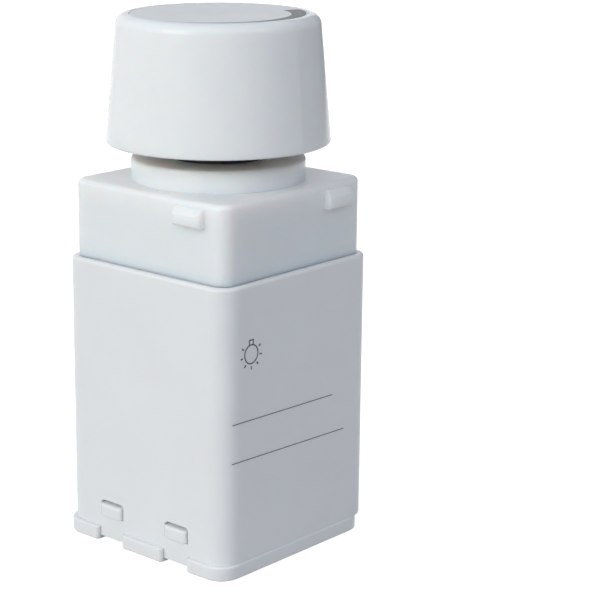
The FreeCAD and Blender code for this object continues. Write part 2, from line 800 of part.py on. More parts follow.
def make_drive_shaft():
    flange_top = "(flange_low + flange_thickness)"
    stub = rod("stub_round", "stub_radius", ("shaft_shoulder", "stub_top"))
    far = "(stub_radius + hub_rib)"
    flat = block("stub_cut", (f"-{far}", far), ("stub_flat", far), ("shaft_shoulder", "stub_top"))
    pieces = [
        cut("stub", stub, [flat]),
        rod("guide_length", "shaft_radius", (flange_top, "shaft_shoulder")),
        rod("stop_flange", "flange_radius", ("flange_low", flange_top)),
        double_d("drive_end", "drive_radius", "drive_flat", (DRIVE_LOW, "flange_low")),
    ]
    node("drive_shaft", fuse("shaft", pieces))


def make_potentiometer():
    floor_top = f"({POT_BOARD_TOP} + pot_floor)"
    cup_top = f"({POT_BOARD_TOP} + pot_height)"
    track_top = f"({floor_top} + track_thickness)"
    wiper_top = f"({track_top} + wiper_gap + wiper_height)"
    cup = rod("pot_cup", "pot_radius", (POT_BOARD_TOP, cup_top))
    well = rod("pot_well", "pot_radius - pot_wall", (floor_top, cup_top))
    passage = rod("pot_passage", "board_hole_radius", (POT_BOARD_TOP, floor_top))
    node("potentiometer_case", cut("pot_case", cup, [well, passage]))
    cover_top = f"{cup_top} + pot_cover_thickness"
    node("potentiometer_cover", tube("pot_cover", "pot_radius", "pot_cover_hole", (cup_top, cover_top)))
    track = tube("track", "track_outer_radius", "track_inner_radius", (floor_top, track_top))
    node("resistance_track", track)
    # The wiper is a thin ring with two feet that run just over the track.
    plate_span = (f"{wiper_top} - wiper_plate", wiper_top)
    plate = tube("wiper_ring", "track_outer_radius - wiper_inset", "track_inner_radius", plate_span)
    foot_span = (f"{track_top} + wiper_gap", wiper_top)
    feet = []
    for sign in ("", "-"):
        middle = f"{sign}(track_inner_radius + track_outer_radius) / 2"
        x = (f"{middle} - wiper_width / 2", f"{middle} + wiper_width / 2")
        feet.append(block("wiper_foot", x, ("-wiper_width / 2", "wiper_width / 2"), foot_span))
    node("wiper_contact", fuse("wiper", [plate] + feet))
    rotor_span = (wiper_top, f"{cup_top} - rotor_headroom")
    rotor = rod("rotor_disc", "rotor_radius", rotor_span)
    drive = double_d("rotor_socket", "drive_radius + drive_fit", "drive_flat + drive_fit", rotor_span)
    node("wiper_rotor", cut("rotor", rotor, [drive]))
    lugs = []
    for step in (-1, 0, 1):
        middle = f"{step} * pot_lug_pitch"
        x = (f"{middle} - pot_lug_width / 2", f"{middle} + pot_lug_width / 2")
        y = (f"pot_lug_gap - {CAVITY}", "-pot_radius + pot_lug_width")
        lug = block("pot_lug", x, y, (POT_BOARD_TOP, f"{POT_BOARD_TOP} + pot_lug_height"))
        around_case = rod("pot_lug_trim", "pot_radius", (POT_BOARD_TOP, cup_top))
        lugs.append(cut("pot_lug_end", lug, [around_case]))
    node("potentiometer_lugs", group("pot_lugs", lugs))


def pin_places():
    return [(f"{step} * pin_pitch", PIN_ROW) for step in range(-2, 3)]


def make_upper_board():
    piece = Moulding("potentiometer_board")
    piece.raise_from("pot_board_low", POT_BOARD_TOP, [around(BOARD, BOARD)])
    piece.fillet("board_corner", upright)
    holes = [("0", "0", "board_hole_radius")]
    for sign in ("", "-"):
        holes.append((f"{sign}{POST}", f"{sign}{POST}", "board_screw_radius + board_screw_gap"))
    holes += [(x, y, "pin_radius + pin_hole_gap") for x, y in pin_places()]
    piece.sink_from("pot_board_low", POT_BOARD_TOP, circles=holes)
    screws = []
    for sign in ("", "-"):
        centre = (f"{sign}{POST}", f"{sign}{POST}")
        head_low = "(pot_board_low - board_screw_head_height)"
        shank_span = ("pot_board_low", "pot_board_low + board_screw_length")
        shank = rod("board_screw_shank", "board_screw_radius", shank_span, centre)
        head = rod("board_screw_head", "board_screw_head_radius", (head_low, "pot_board_low"), centre)
        wide = "board_screw_head_radius"
        slot = block(
            "board_screw_slot",
            (f"{centre[0]} - {wide}", f"{centre[0]} + {wide}"),
            (f"{centre[1]} - driver_slot_width / 2", f"{centre[1]} + driver_slot_width / 2"),
            (head_low, f"{head_low} + driver_slot_depth"),
        )
        screws.append(fuse("board_screw", [shank, cut("board_screw_cut", head, [slot])]))
    node("board_screws", group("board_screw_pair", screws))


def make_push_switch():
    low = MAIN_BOARD_TOP
    floor_top = f"({low} + switch_floor)"
    high = f"({low} + switch_height)"
    rim = "switch_width / 2"
    well = "(switch_width / 2 - switch_wall)"
    box = block("switch_box", (f"-{rim}", rim), (f"-{rim}", rim), (low, high))
    hollow = block("switch_hollow", (f"-{well}", well), (f"-{well}", well), (floor_top, high))
    node("switch_case", cut("switch_cup", box, [hollow]))
    cover_top = f"({high} + switch_cover_thickness)"
    cover = block("switch_lid", (f"-{rim}", rim), (f"-{rim}", rim), (high, cover_top))
    hole = rod("switch_lid_hole", "stem_radius + stem_gap", (high, cover_top))
    node("switch_cover", cut("switch_lid_open", cover, [hole]))
    plunger_top = f"({high} - plunger_gap)"
    plunger_low = f"({plunger_top} - plunger_height)"
    half = "plunger_width / 2"
    carrier = block("plunger_block", (f"-{half}", half), (f"-{half}", half), (plunger_low, plunger_top))
    stem = rod("plunger_stem", "stem_radius", (plunger_top, DRIVE_LOW))
    node("switch_plunger", fuse("plunger", [carrier, stem]))
    bridge_low = f"({plunger_low} - bridge_thickness)"
    strip = block(
        "bridge_strip",
        ("-bridge_length / 2", "bridge_length / 2"),
        ("-bridge_width / 2", "bridge_width / 2"),
        (bridge_low, plunger_low),
    )
    middle = rod("bridge_hole", "bridge_hole_radius", (bridge_low, plunger_low))
    node("contact_bridge", cut("bridge", strip, [middle]))
    contacts = []
    contact_top = f"({bridge_low} - push_travel - fixed_contact_gap)"
    for sign in ("", "-"):
        x = (f"{sign}({well} - fixed_contact_length)", f"{sign}{well}")
        if sign:
            x = (x[1], x[0])
        y = ("-fixed_contact_width / 2", "fixed_contact_width / 2")
        contacts.append(block("fixed_contact", x, y, (floor_top, contact_top)))
    node("fixed_contacts", group("fixed_contact_pair", contacts))


def make_return_spring():
    """An open coil that sits on the switch floor and ends under the plunger."""
    wire = number("spring_wire")
    seat = number("spring_seat")
    board_top = number("main_board_low") + number("board_thickness")
    floor_top = board_top + number("switch_floor")
    plunger_low = board_top + number("switch_height") - number("plunger_gap") - number("plunger_height")
    rise = plunger_low - floor_top - wire - 2 * seat
    radius = number("spring_radius")
    coil = Part.makeHelix(rise / number("spring_turns"), rise, radius)
    section = Part.Wire(Part.Circle(Vector(radius, 0, 0), Vector(0, 1, 0), wire / 2).toShape())
    spring = document.addObject("Part::Feature", "return_spring")
    spring.Shape = Part.Wire(coil).makePipeShell([section], True, True)
    spring.Placement = Placement(Vector(0, 0, floor_top + wire / 2 + seat), Rotation())
    node("return_spring", spring)


def make_board_link():
    pins = []
    bores = []
    span = ("main_board_low - pin_end", f"{POT_BOARD_TOP} + pin_end")
    strip_span = (MAIN_BOARD_TOP, f"{MAIN_BOARD_TOP} + strip_height")
    for centre in pin_places():
        pins.append(rod("link_pin", "pin_radius", span, centre))
        bores.append(rod("link_bore", "pin_radius", strip_span, centre))
    strip = block(
        "strip_block",
        ("-5 * pin_pitch / 2", "5 * pin_pitch / 2"),
        (f"{PIN_ROW} - strip_width / 2", f"{PIN_ROW} + strip_width / 2"),
        strip_span,
    )
    node("link_strip", cut("strip", strip, bores))
    node("link_pins", group("link_pin_row", pins))


def film_lead_places():
    x = f"({FILM_LOW} + film_thickness / 2)"
    return [(x, f"{sign}film_lead_pitch / 2") for sign in ("", "-")]


def varistor_lead_places():
    return [(VARISTOR_X, f"varistor_y {sign} varistor_lead_pitch / 2") for sign in ("+", "-")]


def transistor_leg_places():
    places = []
    for side in ("", "-"):
        for step in (-1, 0, 1):
            places.append((LEG_X, f"{side}transistor_offset + {step} * transistor_leg_pitch"))
    return places


def make_main_board():
    piece = Moulding("main_board")
    piece.raise_from("main_board_low", MAIN_BOARD_TOP, [around(BOARD, BOARD)])
    piece.fillet("board_corner", upright)
    holes = [(x, y, "pin_radius + pin_hole_gap") for x, y in pin_places()]
    for places in (film_lead_places(), varistor_lead_places(), transistor_leg_places()):
        holes += [(x, y, "leg_radius + leg_hole_gap") for x, y in places]
    piece.sink_from("main_board_low", MAIN_BOARD_TOP, circles=holes)
    slots = []
    for row in TERMINAL_ROWS:
        x = (f"-({CARRIER_BACK} + busbar_gap)", f"-({CARRIER_BACK} - busbar_thickness - busbar_gap)")
        half = "(busbar_pin_width / 2 + busbar_gap)"
        slots.append(rectangle(x, (f"{row} - {half}", f"{row} + {half}")))
    piece.sink_from("main_board_low", MAIN_BOARD_TOP, slots)


def make_power_stage():
    bodies = []
    for sign in ("", "-"):
        middle = f"{sign}transistor_offset"
        y = (f"{middle} - transistor_width / 2", f"{middle} + transistor_width / 2")
        span = ("transistor_low", "transistor_high")
        bodies.append(block("transistor", (TRANSISTOR_FRONT, PAD_FRONT), y, span))
    node("power_transistors", group("transistor_pair", bodies))
    span = ("transistor_high", f"{MAIN_BOARD_TOP} + leg_end")
    legs = [rod("transistor_leg", "leg_radius", span, place) for place in transistor_leg_places()]
    node("transistor_legs", group("transistor_leg_row", legs))
    half = "pad_width / 2"
    pad = block("pad_sheet", (PAD_FRONT, SPREADER_FRONT), (f"-{half}", half), ("pad_low", "pad_high"))
    node("insulator_pad", pad)
    half = "spreader_width / 2"
    z = ("rim_top + spreader_end_gap", "main_board_low - spreader_end_gap")
    node("heat_spreader", block("spreader", (SPREADER_FRONT, SPREADER_BACK), (f"-{half}", half), z))


def make_under_board_parts():
    low = "(main_board_low - standoff - film_height)"
    x = (FILM_LOW, f"{FILM_LOW} + film_thickness")
    high = "(main_board_low - standoff)"
    film = block("film_box", x, ("-film_length / 2", "film_length / 2"), (low, high))
    node("film_capacitor", film)
    lead_span = (high, f"{MAIN_BOARD_TOP} + leg_end")
    leads = [rod("film_lead", "leg_radius", lead_span, place) for place in film_lead_places()]
    node("film_capacitor_leads", group("film_leads", leads))
    half = "trimmer_width / 2"
    x = (f"{TRIMMER_X} - {half}", f"{TRIMMER_X} + {half}")
    y = (f"trimmer_y - {half}", f"trimmer_y + {half}")
    trimmer_low = "(main_board_low - trimmer_height)"
    case = block("trimmer_box", x, y, (trimmer_low, "main_board_low"))
    centre = (TRIMMER_X, "trimmer_y")
    well_top = f"({trimmer_low} + trimmer_rotor_depth)"
    well = rod("trimmer_well", "trimmer_rotor_radius + trimmer_rotor_gap", (trimmer_low, well_top), centre)
    node("trimmer_case", cut("trimmer_cup", case, [well]))
    rotor_low = f"({trimmer_low} - trimmer_rotor_proud)"
    disc_span = (rotor_low, f"{well_top} - trimmer_rotor_end_gap")
    disc = rod("trimmer_disc", "trimmer_rotor_radius", disc_span, centre)
    wide = "trimmer_rotor_radius"
    slot = block(
        "trimmer_slot",
        (f"{TRIMMER_X} - {wide}", f"{TRIMMER_X} + {wide}"),
        ("trimmer_y - driver_slot_width / 2", "trimmer_y + driver_slot_width / 2"),
        (rotor_low, f"{rotor_low} + driver_slot_depth"),
    )
    node("trimmer_rotor", cut("trimmer_turner", disc, [slot]))
    chip_low = "(main_board_low - standoff - chip_height)"
    chip = block(
        "chip_box",
        (f"{CHIP_X} - chip_width / 2", f"{CHIP_X} + chip_width / 2"),
        ("-chip_y - chip_length / 2", "-chip_y + chip_length / 2"),
        (chip_low, "main_board_low - standoff"),
    )
    node("control_chip", chip)
    legs = []
    for low_x in (f"({CHIP_X} - chip_width / 2 - chip_leg_length)", f"({CHIP_X} + chip_width / 2)"):
        for step in (-3, -1, 1, 3):
            middle = f"{step} * chip_leg_pitch / 2 - chip_y"
            y = (f"{middle} - chip_leg_width / 2", f"{middle} + chip_leg_width / 2")
            leg_span = ("main_board_low - chip_leg_height", "main_board_low")
            legs.append(block("chip_leg", (low_x, f"{low_x} + chip_leg_length"), y, leg_span))
    node("chip_legs", group("chip_leg_rows", legs))
    span = ("main_board_low - small_part_height", "main_board_low")
    row = f"small_part_inset - {INNER}"
    node("chip_resistors", small_parts("chip_resistor", "0", row, span))


def small_parts(name, x, y, span):
    """Three small boxes in a row along X."""
    row = []
    for step in (-1, 0, 1):
        middle = f"{x} + {step} * small_part_pitch"
        sides = (f"{middle} - small_part_length / 2", f"{middle} + small_part_length / 2")
        ends = (f"{y} - small_part_width / 2", f"{y} + small_part_width / 2")
        row.append(block(name, sides, ends, span))
    return group(f"{name}_row", row)


def make_top_board_parts():
    low = MAIN_BOARD_TOP
    span = (low, f"{low} + small_part_height")
    row = f"{PIN_ROW} - strip_width / 2 - small_part_gap - small_part_width / 2"
    node("chip_capacitors", small_parts("chip_capacitor", "small_part_top_x", row, span))
    centre = (f"can_inset - {INNER}", f"can_inset - {INNER}")
    node("capacitor_can", rod("can", "can_radius", (low, f"{low} + can_height"), centre))
    sleeve = tube(
        "can_wrap", "can_radius + can_sleeve_wall", "can_radius",
        (low, f"{low} + can_height - can_sleeve_step"), centre,
    )
    node("capacitor_sleeve", sleeve)
    centre = ("choke_x", f"choke_inset - {INNER}")
    top = f"({low} + choke_height)"
    winding_span = (f"{low} + choke_flange", f"{top} - choke_flange")
    drum = rod("choke_drum", "choke_radius", (low, top), centre)
    channel = tube("choke_channel", "choke_radius", "choke_neck_radius", winding_span, centre)
    node("choke_core", cut("choke", drum, [channel]))
    node("choke_winding", tube("winding", "choke_winding_radius", "choke_neck_radius", winding_span, centre))
    middle = f"({low} + standoff + varistor_radius)"
    x = (f"{VARISTOR_X} - varistor_thickness / 2", f"{VARISTOR_X} + varistor_thickness / 2")
    disc = rod("varistor_disc", "varistor_radius", x, ("varistor_y", middle), "x")
    node("varistor", disc)
    leads = []
    for place in varistor_lead_places():
        lead = rod("varistor_lead", "leg_radius", ("main_board_low - leg_end", middle), place)
        trim = rod("varistor_trim", "varistor_radius", x, ("varistor_y", middle), "x")
        leads.append(cut("varistor_lead_end", lead, [trim]))
    node("varistor_leads", group("varistor_lead_pair", leads))
    axis_height = f"({low} + fuse_gap + fuse_cap_radius)"
    centre = (f"fuse_inset - {INNER}", axis_height)
    ends = ("(fuse_y - fuse_length / 2)", "(fuse_y + fuse_length / 2)")
    glass = (f"{ends[0]} + fuse_cap_length", f"{ends[1]} - fuse_cap_length")
    node("fuse_body", rod("fuse_tube", "fuse_radius", glass, centre, "y"))
    caps = [
        rod("fuse_cap", "fuse_cap_radius", (ends[0], glass[0]), centre, "y"),
        rod("fuse_cap", "fuse_cap_radius", (glass[1], ends[1]), centre, "y"),
    ]
    node("fuse_caps", group("fuse_cap_pair", caps))


def make_terminal_carrier():
    piece = Moulding("terminal_carrier")
    half = "(cage_width / 2 + cage_gap)"
    end = f"terminal_pitch + {half} + carrier_end"
    body = rectangle((f"-{CARRIER_FRONT}", f"-{CARRIER_BACK}"), (f"-({end})", end))
    piece.raise_from("seam_height", "main_board_low", [body])
    bar = "(busbar_width / 2)"
    chamber_x = (f"-{CHAMBER_FRONT}", f"-{CHAMBER_BACK}")
    passage_x = (f"-({CHAMBER_BACK} + cage_gap)", f"-{CARRIER_BACK}")
    chambers = []
    passages = []
    for row in TERMINAL_ROWS:
        chambers.append(rectangle(chamber_x, (f"{row} - {half}", f"{row} + {half}")))
        passages.append(rectangle(passage_x, (f"{row} - {bar}", f"{row} + {bar}")))
    piece.sink_from("seam_height", f"{CAGE_TOP} + cage_headroom", chambers)
    piece.sink_from(BUSBAR_LOW, BUSBAR_TOP, passages)
    entries = [(row, WIRE_Z, "wire_hole_radius") for row in TERMINAL_ROWS]
    drawing = piece.sketch(circles=entries, role="YZ_Plane", offset=f"-{CHAMBER_FRONT} + cage_gap")
    piece.pocket(drawing, "carrier_wall + 2 * cage_gap", along=False)


def make_terminals():
    half = "busbar_width / 2"
    pin_half = "busbar_pin_width / 2"
    tail = (f"-{CARRIER_BACK}", f"-{CARRIER_BACK} + busbar_thickness")
    pin_span = ("main_board_low", f"{MAIN_BOARD_TOP} - busbar_pin_short")
    bars = []
    for count, row in enumerate(TERMINAL_ROWS, start=1):
        centre = (f"-{TERMINAL_X}", row)
        y = (f"{row} - {half}", f"{row} + {half}")
        pieces = [
            block("busbar_flat", (f"-{CHAMBER_FRONT} + 2 * cage_gap", tail[1]), y, (BUSBAR_LOW, BUSBAR_TOP)),
            block("busbar_tail", tail, y, (BUSBAR_TOP, "main_board_low")),
            block("busbar_pin", tail, (f"{row} - {pin_half}", f"{row} + {pin_half}"), pin_span),
        ]
        bars.append(fuse("busbar", pieces))
        make_clamp_cage(count, row, centre)
        make_terminal_screw(count, row, centre)
    node("terminal_busbars", group("busbar_row", bars))


def make_clamp_cage(count, row, centre):
    """A square loop of strip with a threaded lower wall: the wire goes in over the busbar."""
    x = (f"{centre[0]} - cage_depth / 2", f"{centre[0]} + cage_depth / 2")
    y = (f"{row} - cage_width / 2", f"{row} + cage_width / 2")
    inner_y = (f"{row} - cage_width / 2 + cage_wall", f"{row} + cage_width / 2 - cage_wall")
    inner_low = f"({CAGE_LOW} + cage_thread_wall)"
    loop = block("cage_loop", x, y, (CAGE_LOW, CAGE_TOP))
    tunnel = block("cage_tunnel", x, inner_y, (inner_low, f"{CAGE_TOP} - cage_wall"))
    thread = rod("cage_thread", "terminal_shank_radius + thread_fit", (CAGE_LOW, inner_low), centre)
    node(f"clamp_cage_{count}", cut("cage", loop, [tunnel, thread]))


def make_terminal_screw(count, row, centre):
    head = rod("terminal_head", "terminal_head_radius", (SCREW_HEAD_LOW, SCREW_HEAD_TOP), centre)
    wide = "terminal_head_radius"
    slot = block(
        "terminal_slot",
        (f"{centre[0]} - {wide}", f"{centre[0]} + {wide}"),
        (f"{row} - terminal_slot_width / 2", f"{row} + terminal_slot_width / 2"),
        (SCREW_HEAD_LOW, f"{SCREW_HEAD_LOW} + terminal_slot_depth"),
    )
    shank_span = (SCREW_HEAD_TOP, f"{BUSBAR_LOW} - busbar_gap")
    shank = rod("terminal_shank", "terminal_shank_radius", shank_span, centre)
    node(f"terminal_screw_{count}", fuse("screw", [cut("terminal_head_cut", head, [slot]), shank]))


def check_and_write():
    document.recompute()
    for thing in document.Objects:
        if "Invalid" in thing.State or "Error" in thing.State:
            raise RuntimeError(f"{thing.Name} ({thing.Label}) failed: {thing.State}")
    for thing in nodes:
        if thing.Shape.isNull() or not thing.Shape.isValid():
            raise RuntimeError(f"{thing.Label} has no valid shape")
    os.makedirs("parts", exist_ok=True)
    for thing in nodes:
        thing.Shape.exportStep(f"parts/{thing.Label}.step")
        print(f"{thing.Label}: {len(thing.Shape.Solids)} solid(s), {thing.Shape.Volume:.2f} mm3")


make_rear_housing()
make_front_housing()
make_base_cover()
make_knob()
make_knob_fittings()
make_drive_shaft()
make_potentiometer()
make_upper_board()
make_push_switch()
make_return_spring()
make_board_link()
make_main_board()
make_power_stage()
make_under_board_parts()
make_top_board_parts()
make_terminal_carrier()
make_terminals()
check_and_write()
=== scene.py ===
import json
from math import cos, pi, radians, sin

import bmesh
import bpy
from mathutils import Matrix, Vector


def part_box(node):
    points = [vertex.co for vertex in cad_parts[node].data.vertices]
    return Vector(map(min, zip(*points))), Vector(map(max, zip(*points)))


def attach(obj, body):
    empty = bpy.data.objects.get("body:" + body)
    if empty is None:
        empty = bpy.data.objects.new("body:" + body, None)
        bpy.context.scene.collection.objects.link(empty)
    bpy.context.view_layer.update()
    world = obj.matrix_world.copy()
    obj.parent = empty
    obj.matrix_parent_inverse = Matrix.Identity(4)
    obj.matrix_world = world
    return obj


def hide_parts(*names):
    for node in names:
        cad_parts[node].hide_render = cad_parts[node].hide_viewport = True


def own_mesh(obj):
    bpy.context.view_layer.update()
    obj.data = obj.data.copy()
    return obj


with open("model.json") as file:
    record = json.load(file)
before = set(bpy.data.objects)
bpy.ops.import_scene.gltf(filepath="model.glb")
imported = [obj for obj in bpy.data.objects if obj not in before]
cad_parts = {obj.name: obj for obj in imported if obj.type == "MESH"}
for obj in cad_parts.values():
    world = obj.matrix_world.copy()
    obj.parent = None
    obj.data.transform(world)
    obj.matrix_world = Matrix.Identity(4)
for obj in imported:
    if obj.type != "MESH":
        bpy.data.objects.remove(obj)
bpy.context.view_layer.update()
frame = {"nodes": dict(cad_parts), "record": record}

# Blender works in metres. Azimuth and elevation are degrees; azimuth 0 is -Y and 90 is +X.
MM = 0.001

# The camera, fitted to the photograph's edges. The picture is 600 x 600.
CAMERA_AZIMUTH = 42.83
CAMERA_ELEVATION = 14.896
CAMERA_AIM = Vector((0.0, 0.0, 30.0 * MM))
CAMERA_AIM_RIGHT = 0.161 * MM
CAMERA_AIM_UP = -2.989 * MM
CAMERA_DISTANCE = 216.354 * MM
CAMERA_LENS = 116.19
CAMERA_SENSOR = 36.0
CAMERA_SHIFT_X = 0.1337
CAMERA_CLIP_START = 10.0 * MM
CAMERA_CLIP_END = 20.0


def compass(azimuth, elevation):
    """Unit vector from the object towards a place round it."""
    around, up = radians(azimuth), radians(elevation)
    return Vector((sin(around) * cos(up), -cos(around) * cos(up), sin(up)))


def add_object(name, data):
    made = bpy.data.objects.new(name, data)
    bpy.context.scene.collection.objects.link(made)
    return made


def look_inwards(made, back):
    """Turns a camera or a lamp against the direction it stands in, and returns that turn."""
    turn = (-back).to_track_quat("-Z", "Y")
    made.rotation_mode = "QUATERNION"
    made.rotation_quaternion = turn
    return turn


def make_camera():
    camera = add_object("photo_camera", bpy.data.cameras.new("photo_camera"))
    camera.data.sensor_width = CAMERA_SENSOR
    camera.data.lens = CAMERA_LENS
    camera.data.shift_x = CAMERA_SHIFT_X
    camera.data.clip_start = CAMERA_CLIP_START
    camera.data.clip_end = CAMERA_CLIP_END
    back = compass(CAMERA_AZIMUTH, CAMERA_ELEVATION)
    turn = look_inwards(camera, back)
    right = turn @ Vector((1.0, 0.0, 0.0))
    up = turn @ Vector((0.0, 1.0, 0.0))
    aim = CAMERA_AIM + right * CAMERA_AIM_RIGHT + up * CAMERA_AIM_UP
    camera.location = aim + back * CAMERA_DISTANCE
    bpy.context.scene.camera = camera


# Helpers that build shader trees.

# A Mix node has several sockets of each name, so the ones for colours are given by number.
MIX_SHARE, MIX_FIRST, MIX_SECOND, MIX_RESULT = 0, 6, 7, 2


def new_tree(name):
    material = bpy.data.materials.new(name)
    material.use_nodes = True
    tree = material.node_tree
    tree.nodes.clear()
    return material, tree


def add_node(tree, kind, inputs=None, **properties):
    """A shader node. An input takes a plain value, or another node's output, which is linked."""
    made = tree.nodes.new(kind)
    for name, value in properties.items():
        setattr(made, name, value)
    for name, value in (inputs or {}).items():
        if isinstance(value, bpy.types.NodeSocket):
            tree.links.new(value, made.inputs[name])
        else:
            made.inputs[name].default_value = value
    return made


def opaque(colour):
    return (*colour, 1.0)


def tinted(colour, factor):
    return tuple(min(1.0, part * factor) for part in colour)


def object_points(tree, stretch=(1.0, 1.0, 1.0)):
    """Object coordinates in metres, stretched per axis."""
    place = add_node(tree, "ShaderNodeTexCoord")
    mapping = add_node(tree, "ShaderNodeMapping", {"Vector": place.outputs["Object"], "Scale": stretch})
    return mapping.outputs["Vector"]


def noise(tree, points, scale, detail=3.0, roughness=0.5, distortion=0.0):
    made = add_node(tree, "ShaderNodeTexNoise", {
        "Vector": points,
        "Scale": scale,
        "Detail": detail,
        "Roughness": roughness,
        "Distortion": distortion,
    })
    return made.outputs["Fac"]


def spread(tree, value, low, high, from_low=0.3, from_high=0.7):
    """Maps a texture value to a range."""
    made = add_node(tree, "ShaderNodeMapRange", {
        "Value": value,
        "From Min": from_low,
        "From Max": from_high,
        "To Min": low,
        "To Max": high,
    })
    return made.outputs["Result"]


def two_tones(tree, value, low, high, from_low=0.3, from_high=0.7):
    """A colour between low and high by a texture value."""
    made = add_node(tree, "ShaderNodeValToRGB", {"Fac": value})
    first, last = made.color_ramp.elements
    first.position, first.color = from_low, opaque(low)
    last.position, last.color = from_high, opaque(high)
    return made.outputs["Color"]


def mottled(tree, value, colour, mottle):
    """The colour, made darker and lighter by a share of itself."""
    return two_tones(tree, value, tinted(colour, 1.0 - mottle), tinted(colour, 1.0 + mottle))


def mix_colours(tree, share, first, second):
    sockets = {MIX_SHARE: share, MIX_FIRST: first, MIX_SECOND: second}
    return add_node(tree, "ShaderNodeMix", sockets, data_type="RGBA").outputs[MIX_RESULT]


def painted_warm_shade(tree, colour, warm, low, high):
    """The colour, going over to a painted warm shade between two heights in metres."""
    place = add_node(tree, "ShaderNodeTexCoord")
    parts = add_node(tree, "ShaderNodeSeparateXYZ", {"Vector": place.outputs["Object"]})
    share = spread(tree, parts.outputs["Z"], 0.0, 1.0, from_low=low, from_high=high)
    return mix_colours(tree, share, colour, opaque(warm))


def bump(tree, height, depth, before=None):
    """A bump of that depth in metres, over an earlier one."""
    inputs = {"Strength": 1.0, "Distance": depth, "Height": height}
    if before is not None:
        inputs["Normal"] = before
    return add_node(tree, "ShaderNodeBump", inputs).outputs["Normal"]


def principled(tree, colour, roughness, normal, **inputs):
    """The surface shader with its output. The names of further inputs are given with their spaces."""
    main_inputs = {"Base Color": colour, "Roughness": roughness, "Normal": normal}
    shader = add_node(tree, "ShaderNodeBsdfPrincipled", {**main_inputs, **inputs})
    add_node(tree, "ShaderNodeOutputMaterial", {"Surface": shader.outputs["BSDF"]})


# Materials. The depths of bumps are real depths in metres, and noise scales are per metre.

def moulded(name, colour, roughness, mottle=0.015, grain=0.0025 * MM, wave=0.02 * MM, rim=None, **inputs):
    """Moulded plastic: faint cloudy flow marks, a fine tool grain, and the slow sink of the wall that
    bends its reflections. rim is a warm tone painted in as shade, with the heights where it starts and
    where it is full."""
    material, tree = new_tree(name)
    points = object_points(tree)
    cloud = noise(tree, points, scale=110.0, detail=4.0, roughness=0.55, distortion=0.4)
    fine = noise(tree, points, scale=9000.0, detail=2.0, roughness=0.6)
    slow = noise(tree, points, scale=90.0, detail=1.0, roughness=0.4)
    patches = noise(tree, points, scale=700.0, roughness=0.6)
    tone = mottled(tree, cloud, colour, mottle)
    # The painted warm shade goes on here, on the collar's top.
    if rim is not None:
        tone = painted_warm_shade(tree, tone, *rim)
    gloss = spread(tree, patches, low=roughness * 0.9, high=roughness * 1.12)
    normal = bump(tree, fine, grain, before=bump(tree, slow, wave))
    principled(tree, tone, gloss, normal, **inputs)
    return material


def brushed(name, colour, roughness, stretch, mottle=0.06, depth=0.006 * MM):
    """Metal with fine drawn lines along one axis and a slight change of tone."""
    material, tree = new_tree(name)
    points = object_points(tree)
    lines = noise(tree, object_points(tree, stretch), scale=900.0, detail=4.0, roughness=0.65)
    cloud = noise(tree, points, scale=420.0, distortion=0.6)
    tone = mottled(tree, cloud, colour, mottle)
    gloss = spread(tree, lines, low=roughness * 0.75, high=roughness * 1.3)
    principled(tree, tone, gloss, bump(tree, lines, depth), Metallic=1.0)
    return material


def speckled(name, colour, fleck, roughness, scale=2600.0, start=0.62, edge=0.08, depth=0.012 * MM):
    """A pressed or coated body with small flecks of another tone. A fleck starts where the noise
    passes start, and it is full at edge above that."""
    material, tree = new_tree(name)
    points = object_points(tree)
    flecks = noise(tree, points, scale=scale, roughness=0.7)
    cloud = noise(tree, points, scale=300.0)
    base = mottled(tree, cloud, colour, mottle=0.06)
    share = spread(tree, flecks, 0.0, 1.0, from_low=start, from_high=start + edge)
    tone = mix_colours(tree, share, base, opaque(fleck))
    gloss = spread(tree, flecks, low=roughness * 1.1, high=roughness * 0.85)
    principled(tree, tone, gloss, bump(tree, flecks, depth))
    return material


def circuit_board(name, dark, light):
    """Varnished glass-fibre board: the cloth's weave shows faintly under green varnish."""
    material, tree = new_tree(name)
    points = object_points(tree)
    wave = {"Vector": points, "Scale": 420.0, "Distortion": 0.6, "Detail": 1.0}
    warp, weft = (
        add_node(tree, "ShaderNodeTexWave", wave, wave_type="BANDS", bands_direction=axis).outputs["Fac"]
        for axis in ("X", "Y")
    )
    weave = add_node(tree, "ShaderNodeMath", {0: warp, 1: weft}, operation="MULTIPLY").outputs[0]
    tone = two_tones(tree, weave, dark, light, from_low=0.0, from_high=0.9)
    gloss = spread(tree, noise(tree, points, scale=800.0), low=0.2, high=0.34)
    varnish = {"Coat Weight": 0.4, "Coat Roughness": 0.12}
    principled(tree, tone, gloss, bump(tree, weave, 0.01 * MM), **varnish)
    return material


def enamelled_wire(name, dark, light):
    """Copper wire under clear enamel, slightly uneven in tone and surface."""
    material, tree = new_tree(name)
    points = object_points(tree)
    cloud = noise(tree, points, scale=900.0, roughness=0.6)
    tone = two_tones(tree, cloud, dark, light)
    gloss = spread(tree, cloud, low=0.18, high=0.3)
    normal = bump(tree, noise(tree, points, scale=2400.0, detail=2.0), 0.008 * MM)
    enamel = {"Coat Weight": 0.7, "Coat Roughness": 0.08}
    principled(tree, tone, gloss, normal, Metallic=1.0, **enamel)
    return material


def drawn_glass(name, low, high):
    """Clear glass tube, a little wavy from drawing."""
    material, tree = new_tree(name)
    drawn = noise(tree, object_points(tree, stretch=(1.0, 0.2, 1.0)), scale=700.0, detail=2.0)
    tone = two_tones(tree, drawn, low, high)
    gloss = spread(tree, noise(tree, object_points(tree), scale=1500.0), low=0.02, high=0.06)
    clear = {"Transmission Weight": 1.0}
    principled(tree, tone, gloss, bump(tree, drawn, 0.01 * MM), IOR=1.5, **clear)
    return material


